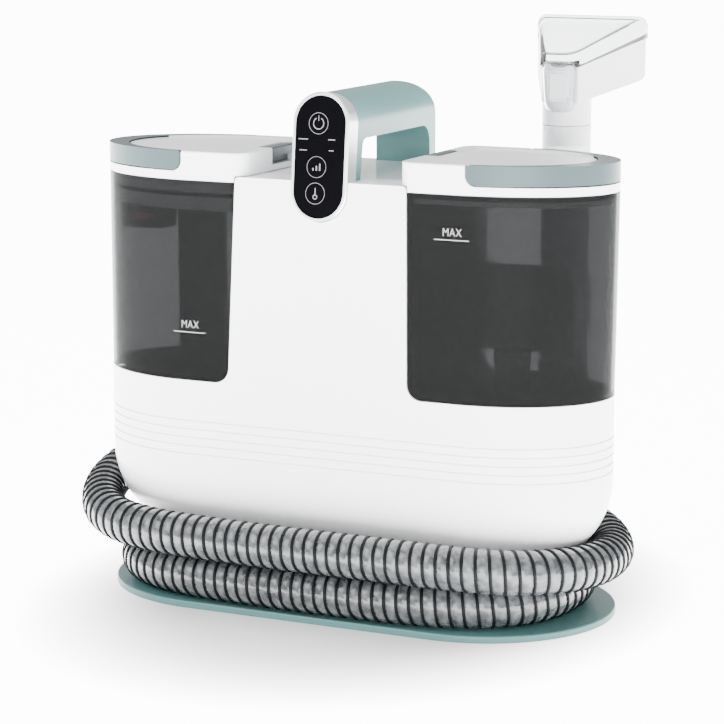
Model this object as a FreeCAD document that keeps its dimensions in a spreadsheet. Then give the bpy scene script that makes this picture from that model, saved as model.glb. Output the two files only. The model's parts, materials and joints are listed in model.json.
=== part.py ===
"""Portable carpet spot cleaner: two lift-off tanks on a grooved body, a carry handle with a touch panel,
a hand-held suction wand and a ribbed hose wound round the pedestal above an oval base plate.

Millimetres, +Z up, front towards -Y, origin at the middle of the base plate's underside.
"""
import FreeCAD, Part
import math
import os
import Sketcher

V = FreeCAD.Vector
doc = FreeCAD.newDocument("spot_cleaner")

# ---------------------------------------------------------------- driving dimensions
SIZES = [
    # base plate and pedestal
    ("base_half_length", 196.0), ("base_half_depth", 96.0), ("base_end_run", 99.0), ("base_thick", 5.0),
    ("pad_radius", 10.0), ("pad_thick", 1.5), ("pad_place_x", 120.0), ("pad_place_y", 58.0),
    ("pedestal_half_length", 138.0), ("pedestal_half_depth", 34.0), ("pedestal_end_run", 60.0),
    ("pedestal_wall", 3.0), ("screw_x", 92.0), ("screw_y", 24.0),
    # lower housing
    ("hull_bottom", 42.0), ("hull_round_top", 105.0), ("hull_top", 150.0), ("hull_wall", 2.5),
    ("body_half_length", 198.0), ("body_front", -76.5), ("body_rear", 60.0), ("body_end_run", 91.0),
    ("hull_inset_x", 56.0), ("hull_inset_y", 40.0), ("hull_inset_run", 28.0),
    ("groove_first", 111.0), ("groove_pitch", 6.2), ("groove_width", 1.3), ("groove_deep", 0.9),
    # upper housing
    ("shelf_top", 166.0), ("shelf_thick", 3.0), ("tower_top", 316.0), ("tower_half_low", 70.6),
    ("tower_half_high", 67.2), ("tower_front_high", -70.0), ("tower_wall", 2.5), ("tower_corner", 11.0),
    ("tower_top_round", 3.5), ("deck_start", -37.0), ("deck_half", 61.0), ("deck_thick", 3.0),
    # rear cover
    ("rear_half", 66.8), ("rear_outer", 85.0), ("rear_bottom", 84.0), ("rear_wall", 2.5),
    ("grille_half", 40.0), ("grille_low", 200.0), ("grille_high", 270.0), ("grille_thick", 3.0),
    # tanks
    ("tank_floor", 166.4), ("tank_top", 311.6), ("tank_gap", 0.6), ("tank_wall", 2.5),
    ("tank_front_low", -76.0), ("tank_rear_low", 59.5), ("tank_end_run_low", 91.0),
    ("tank_front_high", -70.0), ("tank_rear_high", 55.0), ("tank_end_run_high", 96.0),
    ("tank_half_high", 200.0), ("tank_corner", 10.0),
    # lids
    ("lid_inner", 60.0), ("lid_step", 316.5), ("lid_low", 312.0), ("lid_high", 333.0),
    ("lid_corner", 12.0), ("lid_dish", 1.2), ("lid_rim", 13.0), ("lid_roof", 329.0),
    ("bail_low", 319.0), ("bail_end", 112.0), ("bail_arm", 4.0), ("bail_width", 17.0), ("bail_gap", 1.0),
    ("bail_pivot_x", 121.0), ("bail_pivot_z", 328.0), ("bail_pin_radius", 1.5), ("pin_play", 0.06),
    ("latch_half", 20.0), ("latch_run", 12.0), ("latch_low", 326.6), ("latch_gap", 0.5),
    # handle and control module
    ("handle_half", 22.0), ("handle_top", 378.0), ("grip_low", 345.0), ("handle_rear", 85.0),
    ("rear_post", 74.0), ("handle_bend", 28.0), ("handle_wall", 2.5),
    ("module_half", 22.0), ("module_height", 92.0), ("module_deep", 15.0), ("module_face", -74.2),
    ("module_low", 287.5), ("module_lean", 6.0), ("glass_half", 19.3), ("glass_thick", 2.5),
    # wand, holder and nozzle
    ("wand_x", 126.0), ("wand_y", 88.0), ("wand_radius", 18.0), ("wand_bore", 14.5), ("wand_low", 170.0),
    ("wand_seam", 348.0), ("neck_top", 357.0), ("mouth_half", 42.8), ("mouth_y", 138.0),
    ("mouth_low", 379.0), ("mouth_mid", 409.0), ("mouth_high", 425.0), ("mouth_round", 6.0),
    ("trigger_swing", 8.0),
    ("bracket_low", 181.0), ("bracket_high", 245.0), ("bracket_right", 145.0), ("bracket_front", 61.0),
    # hose and its port
    ("hose_radius", 16.5), ("cuff_radius", 18.6), ("cuff_length", 24.0), ("cuff_lift", 0.5), ("port_x", 45.0), ("port_y", 86.0),
    ("port_z", 22.8), ("port_mouth", 70.0), ("port_radius", 16.5), ("port_bore", 12.5),
    ("pipe_radius", 10.0), ("pipe_bore", 8.0), ("riser_x", -106.0), ("riser_y", -13.0),
    # works inside
    ("motor_y", -8.0), ("fan_radius", 54.0), ("fan_low", 74.0), ("fan_high", 120.0), ("motor_radius", 40.0),
    ("motor_high", 188.0), ("shaft_radius", 4.0), ("valve_x", 132.0), ("valve_y", -30.0),
    ("duct_left", -140.0), ("duct_right", -114.0), ("duct_front", -25.0), ("duct_back", 8.0),
    ("duct_x", -127.0), ("duct_split", -4.3), ("inlet_y", -14.6), ("outlet_y", 1.0),
    ("inlet_port", 6.0), ("outlet_port", 4.4),
    ("gland_x", -44.0), ("gland_z", 122.0), ("gland_bore", 4.0), ("gland_radius", 8.0),
]
sheet = doc.addObject("Spreadsheet::Sheet", "sizes")
for row, (alias, value) in enumerate(SIZES, start=1):
    sheet.set("A%d" % row, alias)
    sheet.set("B%d" % row, str(value))
    sheet.setAlias("B%d" % row, alias)
doc.recompute()


def size(alias):
    """The number in one cell of the sheet."""
    return float(sheet.get(alias))


class Sizes:
    def __getattr__(self, alias):
        return size(alias)


S = Sizes()
NODES = {}
SCREWS = []


def keep(obj, label):
    """Names a finished sub-part and lists it for writing."""
    obj.Label = label
    NODES[label] = obj
    return obj


# ---------------------------------------------------------------- primitives bound to the sheet
def bind(obj, prop, value):
    """Sets a property to a number, or ties it to the sheet when it is an expression."""
    if isinstance(value, str):
        obj.setExpression(prop, value)
    elif "." in prop:
        base = FreeCAD.Placement(obj.Placement)
        setattr(base.Base, prop.rsplit(".", 1)[1], value)
        obj.Placement = base
    else:
        setattr(obj, prop, value)


def place(obj, at):
    for axis, value in zip("xyz", at):
        bind(obj, "Placement.Base." + axis, value)


def tie(text):
    """Prefixes each sheet alias in a formula with the sheet's name."""
    names = sorted((alias for alias, _ in SIZES), key=len, reverse=True)
    out = []
    for word in text.replace("(", " ( ").replace(")", " ) ").split():
        out.append("sizes." + word if word in names else word)
    return " ".join(out)


def box(name, at, dims):
    """A block from its lowest corner and its three lengths; text values are formulas of the sheet."""
    obj = doc.addObject("Part::Box", name)
    for prop, value in zip(("Length", "Width", "Height"), dims):
        bind(obj, prop, tie(value) if isinstance(value, str) else value)
    place(obj, [tie(v) if isinstance(v, str) else v for v in at])
    return obj


AXES = {"z": FreeCAD.Rotation(), "x": FreeCAD.Rotation(V(0, 1, 0), 90), "y": FreeCAD.Rotation(V(1, 0, 0), -90)}


def rod(name, at, radius, length, axis="z"):
    """A cylinder that starts at a point and runs along +X, +Y or +Z."""
    obj = doc.addObject("Part::Cylinder", name)
    bind(obj, "Radius", tie(radius) if isinstance(radius, str) else radius)
    bind(obj, "Height", tie(length) if isinstance(length, str) else length)
    obj.Placement = FreeCAD.Placement(V(0, 0, 0), AXES[axis])
    place(obj, [tie(v) if isinstance(v, str) else v for v in at])
    return obj


def cut(name, base, *tools):
    for count, tool in enumerate(tools):
        obj = doc.addObject("Part::Cut", "%s_cut%d" % (name, count))
        obj.Base = base
        obj.Tool = tool
        base = obj
    return base


def fuse(name, *shapes):
    if len(shapes) == 1:
        return shapes[0]
    obj = doc.addObject("Part::MultiFuse", name + "_fuse")
    obj.Shapes = list(shapes)
    return obj


def group(name, *shapes):
    """Several separate solids kept as one sub-part."""
    obj = doc.addObject("Part::Compound", name + "_group")
    obj.Links = list(shapes)
    return obj


def ring(name, at, outer, inner, length, axis="z"):
    """A tube, with its bore cut right through."""
    return cut(name, rod(name + "_outer", at, outer, length, axis), rod(name + "_inner", at, inner, length, axis))


def feature(name, shape):
    """A piece whose shape neither a body nor a primitive gives."""
    obj = doc.addObject("Part::Feature", name)
    obj.Shape = shape
    return obj


# ---------------------------------------------------------------- sketches and bodies
def new_body(name):
    return doc.addObject("PartDesign::Body", name)


def new_sketch(body, role, name, edges, offset=0.0):
    """A sketch on one of the body's own origin planes, moved along the plane's normal."""
    sketch = body.newObject("Sketcher::SketchObject", body.Name + "_" + name)
    support = [feature for feature in body.Origin.OriginFeatures if feature.Role == role]
    sketch.AttachmentSupport = [(support[0], "")]
    sketch.MapMode = "FlatFace"
    if isinstance(offset, str):
        sketch.setExpression("AttachmentOffset.Base.z", tie(offset))
    else:
        sketch.AttachmentOffset = FreeCAD.Placement(V(0, 0, offset), FreeCAD.Rotation())
    for edge in edges:
        sketch.addGeometry(edge, False)
    return sketch


def pad(body, sketch, length, cutting=False):
    kind = "PartDesign::Pocket" if cutting else "PartDesign::Pad"
    feature = body.newObject(kind, sketch.Name + ("_pocket" if cutting else "_pad"))
    feature.Profile = sketch
    if isinstance(length, str):
        feature.setExpression("Length", tie(length))
    else:
        feature.Length = length
    if cutting:
        feature.Reversed = True
    return feature


def loft(body, name, sketches, cutting=False, ruled=True):
    kind = "PartDesign::SubtractiveLoft" if cutting else "PartDesign::AdditiveLoft"
    feature = body.newObject(kind, body.Name + "_" + name)
    feature.Profile = sketches[0]
    feature.Sections = sketches[1:]
    feature.Ruled = ruled
    return feature


def round_edges(body, name, radius, test):
    """Fillets the edges of the body's present shape whose centre passes the test."""
    doc.recompute()
    base = body.Tip
    names = ["Edge%d" % (i + 1) for i, edge in enumerate(base.Shape.Edges) if test(edge)]
    if not names:
        raise RuntimeError("no edges for " + body.Name + "_" + name)
    feature = body.newObject("PartDesign::Fillet", body.Name + "_" + name)
    feature.Base = (base, names)
    if isinstance(radius, str):
        feature.setExpression("Radius", tie(radius))
    else:
        feature.Radius = radius
    return feature


def half_oval(cx, cy, run, rise, side):
    """Half an ellipse about (cx, cy), reaching run along X on the given side and rise along Y."""
    centre = V(cx, cy, 0)
    if run >= rise:
        oval = Part.Ellipse(V(cx + run, cy, 0), V(cx, cy + rise, 0), centre)
        start, stop = (-math.pi / 2, math.pi / 2) if side > 0 else (math.pi / 2, 3 * math.pi / 2)
    else:
        oval = Part.Ellipse(V(cx, cy + rise, 0), V(cx - run, cy, 0), centre)
        start, stop = (-math.pi, 0.0) if side > 0 else (0.0, math.pi)
    return Part.ArcOfEllipse(oval, start, stop)


def line(x1, y1, x2, y2):
    return Part.LineSegment(V(x1, y1, 0), V(x2, y2, 0))


def polygon(points):
    return [line(*points[i], *points[(i + 1) % len(points)]) for i in range(len(points))]


def end_outline(inner, outer, front, rear, run, side):
    """Plan of one end of the body: straight front and rear from the inner wall, closed by a half oval."""
    middle, bend = side * inner, side * (outer - run)
    centre = (front + rear) / 2
    return [line(middle, front, bend, front),
            half_oval(bend, centre, run, (rear - front) / 2, side),
            line(bend, rear, middle, rear),
            line(middle, rear, middle, front)]


def full_outline(outer, front, rear, run):
    """Plan of the whole body: straight front and rear with a half oval at each end."""
    bend, centre, rise = outer - run, (front + rear) / 2, (rear - front) / 2
    return [line(-bend, front, bend, front), half_oval(bend, centre, run, rise, 1),
            line(bend, rear, -bend, rear), half_oval(-bend, centre, run, rise, -1)]


def rectangle(x1, y1, x2, y2):
    return polygon([(x1, y1), (x2, y1), (x2, y2), (x1, y2)])


def circle(x, y, radius):
    return [Part.Circle(V(x, y, 0), V(0, 0, 1), radius)]


# ---------------------------------------------------------------- swept tubes
def tube_wire(points, radius=None):
    """Straight runs joined by tangent arcs; each arc takes 0.45 of its shorter run unless a radius is given."""
    edges, here, radii = [], points[0], []
    for before, corner, after in zip(points, points[1:], points[2:]):
        back, ahead = (before - corner), (after - corner)
        turn = math.pi - back.getAngle(ahead)
        reach = radius * math.tan(turn / 2) if radius else 0.45 * min(back.Length, ahead.Length)
        bend = reach / math.tan(turn / 2)
        radii.append(bend)
        back.normalize()
        ahead.normalize()
        one, two = corner + back * reach, corner + ahead * reach
        bisector = back + ahead
        bisector.normalize()
        middle = corner + bisector * (bend / math.cos(turn / 2) - bend)
        edges += [Part.LineSegment(here, one).toShape(), Part.Arc(one, middle, two).toShape()]
        here = two
    edges.append(Part.LineSegment(here, points[-1]).toShape())
    return Part.Wire(edges), radii


def tube_solid(wire, radius):
    first = wire.OrderedEdges[0]
    start = first.valueAt(first.FirstParameter)
    profile = Part.Wire([Part.Circle(start, first.tangentAt(first.FirstParameter), radius).toShape()])
    return wire.makePipeShell([profile], True, False)


def tube(name, points, outer, bore=None, bend=None):
    """A round tube along a route, hollow when a bore is given."""
    wire, _ = tube_wire([V(*p) for p in points], bend)
    shape = tube_solid(wire, outer)
    if bore:
        shape = shape.cut(tube_solid(wire, bore))
    return feature(name, shape)


# ================================================================ base plate and pedestal
def make_base():
    body = new_body("base_plate")
    outline = full_outline(S.base_half_length, -S.base_half_depth, S.base_half_depth, S.base_end_run)
    pad(body, new_sketch(body, "XY_Plane", "plan", outline), "base_thick")
    round_edges(body, "rim", 1.2, lambda e: e.CenterOfMass.z > S.base_thick - 0.1)
    spots = [(sx * S.pad_place_x, sy * S.pad_place_y) for sx in (-1, 1) for sy in (-1, 1)]
    rounds = [c for x, y in spots for c in circle(x, y, S.pad_radius + 0.2)]
    recess = new_sketch(body, "XY_Plane", "recess", rounds)
    pad(body, recess, "pad_thick", cutting=True)
    screw_spots = [(sx * S.screw_x, sy * S.screw_y) for sx in (-1, 1) for sy in (-1, 1)]
    for name, radius, height in (("counterbore", 4.2, 2.0), ("screw_hole", 2.1, 8.0)):
        holes = new_sketch(body, "XY_Plane", name, [c for x, y in screw_spots for c in circle(x, y, radius)])
        pad(body, holes, height, cutting=True)
    keep(body, "base_plate")
    for i, (x, y) in enumerate(screw_spots):
        SCREWS.append(fuse("plate_screw%d" % i, rod("plate_head%d" % i, (x, y, 0.3), 4.0, 1.7),
                           rod("plate_shank%d" % i, (x, y, 2.0), 2.0, 14.0)))
    pads = [rod("base_pad%d" % i, (x, y, 0.0), "pad_radius", "pad_thick") for i, (x, y) in enumerate(spots)]
    keep(group("base_pads", *pads), "base_pads")

    body = new_body("pedestal")
    deep, run = S.pedestal_half_depth, S.pedestal_end_run
    outline = full_outline(S.pedestal_half_length, -deep, deep, run)
    pad(body, new_sketch(body, "XY_Plane", "plan", outline, "base_thick"), "hull_bottom - base_thick")
    wall = S.pedestal_wall
    hollow = full_outline(S.pedestal_half_length - wall, -deep + wall, deep - wall, run - wall)
    pad(body, new_sketch(body, "XY_Plane", "hollow", hollow, "base_thick"),
        "hull_bottom - base_thick - pedestal_wall", cutting=True)
    riser = circle(S.riser_x, S.riser_y, S.pipe_radius + 0.2)
    pad(body, new_sketch(body, "XY_Plane", "riser", riser, "hull_bottom - 6"), 10.0, cutting=True)
    side = circle(S.port_x, S.port_z, S.pipe_radius + 0.2)
    pad(body, new_sketch(body, "XZ_Plane", "port", side, "- pedestal_half_depth - 1"), 8.0, cutting=True)
    bosses = [c for x, y in screw_spots for c in circle(x, y, 4.5)]
    pad(body, new_sketch(body, "XY_Plane", "bosses", bosses, "base_thick"), "hull_bottom - base_thick - 1")
    sockets = [c for x, y in screw_spots for c in circle(x, y, 2.05)]
    pad(body, new_sketch(body, "XY_Plane", "sockets", sockets, "base_thick - 1"), 14.0, cutting=True)
    keep(body, "pedestal")


# ================================================================ housings
HULL_STEPS = (1.0, 0.94, 0.8, 0.6, 0.35, 0.0)


def hull_section(depth, inset):
    """Plan of the rounded bottom at a depth below its upper edge, as a share of its height."""
    share = 1 - math.sqrt(1 - depth * depth)
    return full_outline(S.body_half_length - inset - S.hull_inset_x * share,
                        S.body_front + inset + S.hull_inset_y * share,
                        S.body_rear - inset - S.hull_inset_y * share,
                        S.body_end_run - inset - S.hull_inset_run * share)


def make_lower_housing():
    body = new_body("lower_housing")
    height = S.hull_round_top - S.hull_bottom
    for wall, cutting in ((0.0, False), (S.hull_wall, True)):
        floor = S.hull_bottom + wall
        rise = S.hull_round_top - floor
        sketches = []
        for count, depth in enumerate(HULL_STEPS):
            name = "%s%d" % ("inner" if cutting else "outer", count)
            sketches.append(new_sketch(body, "XY_Plane", name, hull_section(depth, wall),
                                       S.hull_round_top - rise * depth))
        loft(body, "bowl_cut" if cutting else "bowl", sketches, cutting, ruled=False)
        upper = new_sketch(body, "XY_Plane", "wall%d" % cutting, hull_section(0.0, wall), "hull_round_top")
        pad(body, upper, "hull_top - hull_round_top", cutting)
    for count in range(5):
        level = "groove_first + groove_pitch * %d" % count
        band = hull_section(0.0, -1.0) + hull_section(0.0, S.groove_deep)
        pad(body, new_sketch(body, "XY_Plane", "groove%d" % count, band, level), "groove_width", cutting=True)
    riser = circle(S.riser_x, S.riser_y, S.pipe_radius + 0.2)
    pad(body, new_sketch(body, "XY_Plane", "riser", riser, "hull_bottom - 2"), 30.0, cutting=True)
    keep(body, "lower_housing")


def tower_section(share, inset):
    """Corners of the tower's plan between the shelf (0) and the deck (1)."""
    half = S.tower_half_low + (S.tower_half_high - S.tower_half_low) * share - inset
    front = S.body_front + (S.tower_front_high - S.body_front) * share + inset
    return rectangle(-half, front, half, S.body_rear + (inset and 1.0))


def hat_profile():
    """Front view of the shelf and the tower, with the round roots and the round crown."""
    reach, low, shelf, top = S.body_half_length, S.hull_top, S.shelf_top, S.tower_top
    foot, root, crown = S.tower_half_low, S.tower_corner, S.tower_top_round
    high = S.tower_half_high
    edges = [line(-reach, low, reach, low)]
    for side in (1, -1):
        arc = math.sqrt(0.5)
        one, two = (foot + root, shelf), (foot - 0.2, shelf + root)
        mid = (foot + root * (1 - arc), shelf + root * (1 - arc))
        low_arc = [V(side * x, y, 0) for x, y in (one, mid, two)]
        three, four = (high, top - crown), (high - crown, top)
        turn = (high - crown * (1 - arc), top - crown * (1 - arc))
        high_arc = [V(side * x, y, 0) for x, y in (three, turn, four)]
        edges += [line(side * reach, low, side * reach, shelf), line(side * reach, shelf, side * one[0], shelf),
                  Part.Arc(*low_arc), line(side * two[0], two[1], side * three[0], three[1]), Part.Arc(*high_arc)]
    edges.append(line(high - crown, top, crown - high, top))
    return edges


def make_upper_housing():
    body = new_body("upper_housing")
    hat = new_sketch(body, "XZ_Plane", "hat", hat_profile(), "- body_rear")
    pad(body, hat, "body_rear - body_front")
    shave = polygon([(S.body_front - 2, S.shelf_top), (S.body_front, S.shelf_top),
                     (S.tower_front_high, S.tower_top), (S.tower_front_high, S.tower_top + 2),
                     (S.body_front - 2, S.tower_top + 2)])
    pad(body, new_sketch(body, "YZ_Plane", "lean", shave, -100.0), 200.0, cutting=True)
    far = S.body_half_length + 5
    ends = rectangle(-far, S.body_front - 5, far, S.body_rear + 5) + hull_section(0.0, 0.0)
    ends = new_sketch(body, "XY_Plane", "ends", ends, "hull_top - 1")
    pad(body, ends, "shelf_top - hull_top + 2", cutting=True)
    # hollow tower, open below into the lower housing and open behind
    wall = S.tower_wall
    low = new_sketch(body, "XY_Plane", "cavity_low", tower_section(0.0, wall), "hull_top - 1")
    high = new_sketch(body, "XY_Plane", "cavity_high", tower_section(1.0, wall), "tower_top - deck_thick")
    loft(body, "cavity", [low, high], cutting=True)
    under = new_sketch(body, "XY_Plane", "under", hull_section(0.0, S.hull_wall), "hull_top - 1")
    pad(body, under, "shelf_top - hull_top - shelf_thick + 1", cutting=True)
    opening = rectangle(-S.deck_half, S.deck_start, S.deck_half, S.body_rear + 1)
    pad(body, new_sketch(body, "XY_Plane", "deck_well", opening, "tower_top - deck_thick - 1"), 6.0, cutting=True)
    # ports in the shelf: valve seat on the right, dirty inlet and suction outlet on the left
    holes = circle(S.valve_x, S.valve_y, 15.0)
    holes += circle(S.duct_x, S.inlet_y, S.inlet_port + 1.4) + circle(S.duct_x, S.outlet_y, S.outlet_port + 1.4)
    pad(body, new_sketch(body, "XY_Plane", "ports", holes, "shelf_top - 6"), 10.0, cutting=True)
    # seat for the control module in the front wall
    slot = doc.addObject("Part::Feature", "module_slot")
    slot.Shape = module_prism(S.module_half + 0.3, S.module_height + 0.6, -3.0, S.module_deep + 4.0)
    keep(cut("upper_housing", body, slot), "upper_housing")


def make_deck():
    plate = box("deck_plate", ("- deck_half + 0.2", "deck_start + 0.4", "tower_top - deck_thick"),
                ("2 * deck_half - 0.4", "rear_outer - deck_start - 0.4", "deck_thick"))
    wing = box("deck_wing", ("- rear_half", "body_rear + 0.2", "tower_top - deck_thick"),
               ("2 * rear_half", "rear_outer - body_rear - 0.2", "deck_thick"))
    keep(fuse("top_deck", plate, wing), "top_deck")


def make_rear_cover():
    """Cover behind the tower: a box open to the front, with a grille window and a cord hole."""
    block = doc.addObject("Part::Box", "rear_block")
    for prop, text in (("Length", "2 * rear_half"), ("Width", "rear_outer - body_rear - 0.2"),
                       ("Height", "tower_top - deck_thick - rear_bottom")):
        block.setExpression(prop, tie(text))
    place(block, [tie("- rear_half"), tie("body_rear + 0.2"), tie("rear_bottom")])
    doc.recompute()
    rounded = doc.addObject("Part::Fillet", "rear_block_round")
    rounded.Base = block
    picks = []
    for index, edge in enumerate(block.Shape.Edges, start=1):
        centre = edge.CenterOfMass
        if abs(centre.y - S.rear_outer) < 0.1 and centre.z < S.tower_top - S.deck_thick - 1:
            picks.append((index, 5.5, 5.5))
    rounded.Edges = picks
    hollow = box("rear_hollow", ("- rear_half + rear_wall", "body_rear", "rear_bottom + rear_wall"),
                 ("2 * ( rear_half - rear_wall )", "rear_outer - body_rear - rear_wall",
                  "tower_top - rear_bottom"))
    window = box("rear_window", ("- grille_half - 0.2", "rear_outer - rear_wall - 1", "grille_low - 0.2"),
                 ("2 * grille_half + 0.4", 10.0, "grille_high - grille_low + 0.4"))
    hole = rod("gland_hole", ("gland_x", "rear_outer - rear_wall - 1", "gland_z"), "gland_radius", 10.0, "y")
    heads, shanks, wells, bores = [], [], [], []
    for i, (side, level) in enumerate(((-1, 108.0), (1, 108.0), (-1, 296.0), (1, 296.0))):
        x = side * (S.rear_half - 9.0)
        heads.append(rod("cover_screw_head%d" % i, (x, "rear_outer - 1.5", level), 3.0, 1.5, "y"))
        shanks.append(rod("cover_screw_shank%d" % i, (x, "rear_outer - 14", level), 1.5, 12.5, "y"))
        wells.append(rod("cover_screw_well%d" % i, (x, "rear_outer - 1.5", level), 3.2, 4.0, "y"))
        bores.append(rod("cover_screw_bore%d" % i, (x, "rear_outer - 6", level), 1.6, 10.0, "y"))
    SCREWS.extend(fuse("cover_screw%d" % i, head, shank) for i, (head, shank) in enumerate(zip(heads, shanks)))
    keep(cut("rear_cover", rounded, hollow, window, hole, *wells, *bores), "rear_cover")

    plate = box("grille_plate", ("- grille_half", "rear_outer - grille_thick", "grille_low"),
                ("2 * grille_half", "grille_thick", "grille_high - grille_low"))
    slots = [box("grille_slot%d" % i, (-34.0, "rear_outer - grille_thick - 1", "grille_low + %g" % (6.0 + 8.0 * i)),
                 (68.0, 8.0, 4.0)) for i in range(8)]
    keep(cut("exhaust_grille", plate, *slots), "exhaust_grille")
    keep(box("exhaust_filter", (-37.0, "rear_outer - grille_thick - 12", "grille_low + 3"),
             (74.0, 11.5, "grille_high - grille_low - 6")), "exhaust_filter")
    flange = rod("gland_flange", ("gland_x", "rear_outer", "gland_z"), "gland_radius + 2.5", 2.0, "y")
    sleeve = rod("gland_sleeve", ("gland_x", "rear_outer - 8", "gland_z"), "gland_radius - 0.05", 18.0, "y")
    bore = rod("gland_bore_cut", ("gland_x", "rear_outer - 10", "gland_z"), "gland_bore", 24.0, "y")
    keep(cut("cord_gland", fuse("cord_gland", flange, sleeve), bore), "cord_gland")


# ================================================================ control module and handle
def module_frame(shape):
    """Leans a part drawn upright behind the module's face back about the face's lower edge."""
    shape = shape.copy()
    shape.rotate(V(0, S.module_face, S.module_low), V(1, 0, 0), -S.module_lean)
    return shape


def stadium_face(half, height, y):
    """Upright round-ended slot face in the plane of constant y, with its foot at the module's foot."""
    low = S.module_low + (S.module_height - height) / 2
    a, b = low + half, low + height - half
    left, right = V(-half, y, 0), V(half, y, 0)
    lift = lambda point, z: V(point.x, point.y, z)
    edges = [Part.Arc(lift(right, b), V(0, y, b + half), lift(left, b)).toShape(),
             Part.LineSegment(lift(left, b), lift(left, a)).toShape(),
             Part.Arc(lift(left, a), V(0, y, a - half), lift(right, a)).toShape(),
             Part.LineSegment(lift(right, a), lift(right, b)).toShape()]
    return Part.Face(Part.Wire(edges))


def module_prism(half, height, start, deep):
    """Round-ended prism from a depth behind the module's face, leaning with the module."""
    face = stadium_face(half, height, S.module_face + start)
    return module_frame(face.extrude(V(0, deep, 0)))


def make_module():
    half, tall, deep = S.module_half, S.module_height, S.module_deep
    rim = half - S.glass_half
    opening = module_prism(half - rim + 0.15, tall - 2 * rim + 0.3, -1.0, deep + 2.0)
    outer = module_prism(half, tall, 0.0, deep)
    flat = sorted((f for f in outer.Faces if f.Surface.TypeId == "Part::GeomPlane"),
                  key=lambda f: f.CenterOfMass.y)[0]
    outer = outer.makeChamfer(0.9, flat.Edges)
    keep(feature("control_bezel", outer.cut(opening)), "control_bezel")
    glass = module_prism(S.glass_half, tall - 2 * rim, 0.5, S.glass_thick)
    keep(feature("control_glass", glass), "control_glass")
    carrier = module_prism(S.glass_half, tall - 2 * rim, 6.0, deep - 6.0)
    hollow = module_prism(S.glass_half - 2.0, tall - 2 * rim - 4.0, 5.0, 5.0)
    keep(feature("control_carrier", carrier.cut(hollow)), "control_carrier")
    board = module_prism(S.glass_half - 2.3, tall - 2 * rim - 4.6, 0.5 + S.glass_thick + 2.4, 1.6)
    keep(feature("touch_board", board), "touch_board")


def handle_profile(inset):
    """Side view of the handle: front post behind the module, level grip and rear post, as one wire."""
    top, rear, low = S.handle_top - inset, S.handle_rear - inset, S.tower_top
    bend = S.handle_bend - inset
    lean = math.tan(math.radians(S.module_lean))
    back = S.module_face + S.module_deep + 0.6 + inset
    front_low, front_top = back + (low - S.module_low) * lean, back + (top - S.module_low) * lean
    grip, post = S.grip_low + inset, S.rear_post + inset
    inner, inner_low = -44.5 - inset, -48.5 - inset
    dip, curl = 6.0, 13.0
    at = lambda y, z: V(0, y, z)
    diagonal = math.sqrt(0.5)
    edges = [
        Part.LineSegment(at(front_low, low), at(front_top, top)),
        Part.LineSegment(at(front_top, top), at(rear - bend, top)),
        Part.Arc(at(rear - bend, top), at(rear - bend * (1 - diagonal), top - bend * (1 - diagonal)),
                 at(rear, top - bend)),
        Part.LineSegment(at(rear, top - bend), at(rear, low)),
        Part.LineSegment(at(rear, low), at(post, low)),
        Part.LineSegment(at(post, low), at(post, grip - curl)),
        Part.Arc(at(post, grip - curl), at(post - curl * (1 - diagonal), grip - curl * (1 - diagonal)),
                 at(post - curl, grip)),
        Part.LineSegment(at(post - curl, grip), at(inner + dip, grip)),
        Part.Arc(at(inner + dip, grip), at(inner + dip * (1 - diagonal), grip - dip * (1 - diagonal)),
                 at(inner, grip - dip)),
        Part.LineSegment(at(inner, grip - dip), at(inner_low, low)),
        Part.LineSegment(at(inner_low, low), at(front_low, low)),
    ]
    return Part.Wire([edge.toShape() for edge in edges])


def handle_solid(inset):
    """The side view given its width, with the grip's top made half round."""
    half = S.handle_half - inset
    side = Part.Face(handle_profile(inset)).extrude(V(2 * half, 0, 0))
    side.translate(V(-half, 0, 0))
    top, low = S.handle_top - inset, S.tower_top
    shoulder = top - half
    arch = Part.Wire([
        Part.LineSegment(V(-half, -80, low), V(half, -80, low)).toShape(),
        Part.LineSegment(V(half, -80, low), V(half, -80, shoulder)).toShape(),
        Part.Arc(V(half, -80, shoulder), V(0, -80, top), V(-half, -80, shoulder)).toShape(),
        Part.LineSegment(V(-half, -80, shoulder), V(-half, -80, low)).toShape()])
    return side.common(Part.Face(arch).extrude(V(0, 200, 0)))


def make_handle():
    shell = handle_solid(0.0).cut(handle_solid(S.handle_wall))
    for name, low in (("handle_left", -40.0), ("handle_right", 0.0)):
        half = Part.makeBox(40.0, 300.0, 120.0, V(low, -120.0, 290.0))
        keep(feature(name, shell.common(half)), name)


# ================================================================ tanks and lids
def tank_section(share, inset, side):
    mix = lambda low, high: low + (high - low) * share
    inner = mix(S.tower_half_low, S.tower_half_high) + S.tank_gap + inset
    return end_outline(inner, mix(S.body_half_length, S.tank_half_high) - inset,
                       mix(S.tank_front_low, S.tank_front_high) + inset,
                       mix(S.tank_rear_low, S.tank_rear_high) - inset,
                       mix(S.tank_end_run_low, S.tank_end_run_high) - inset, side)


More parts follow.
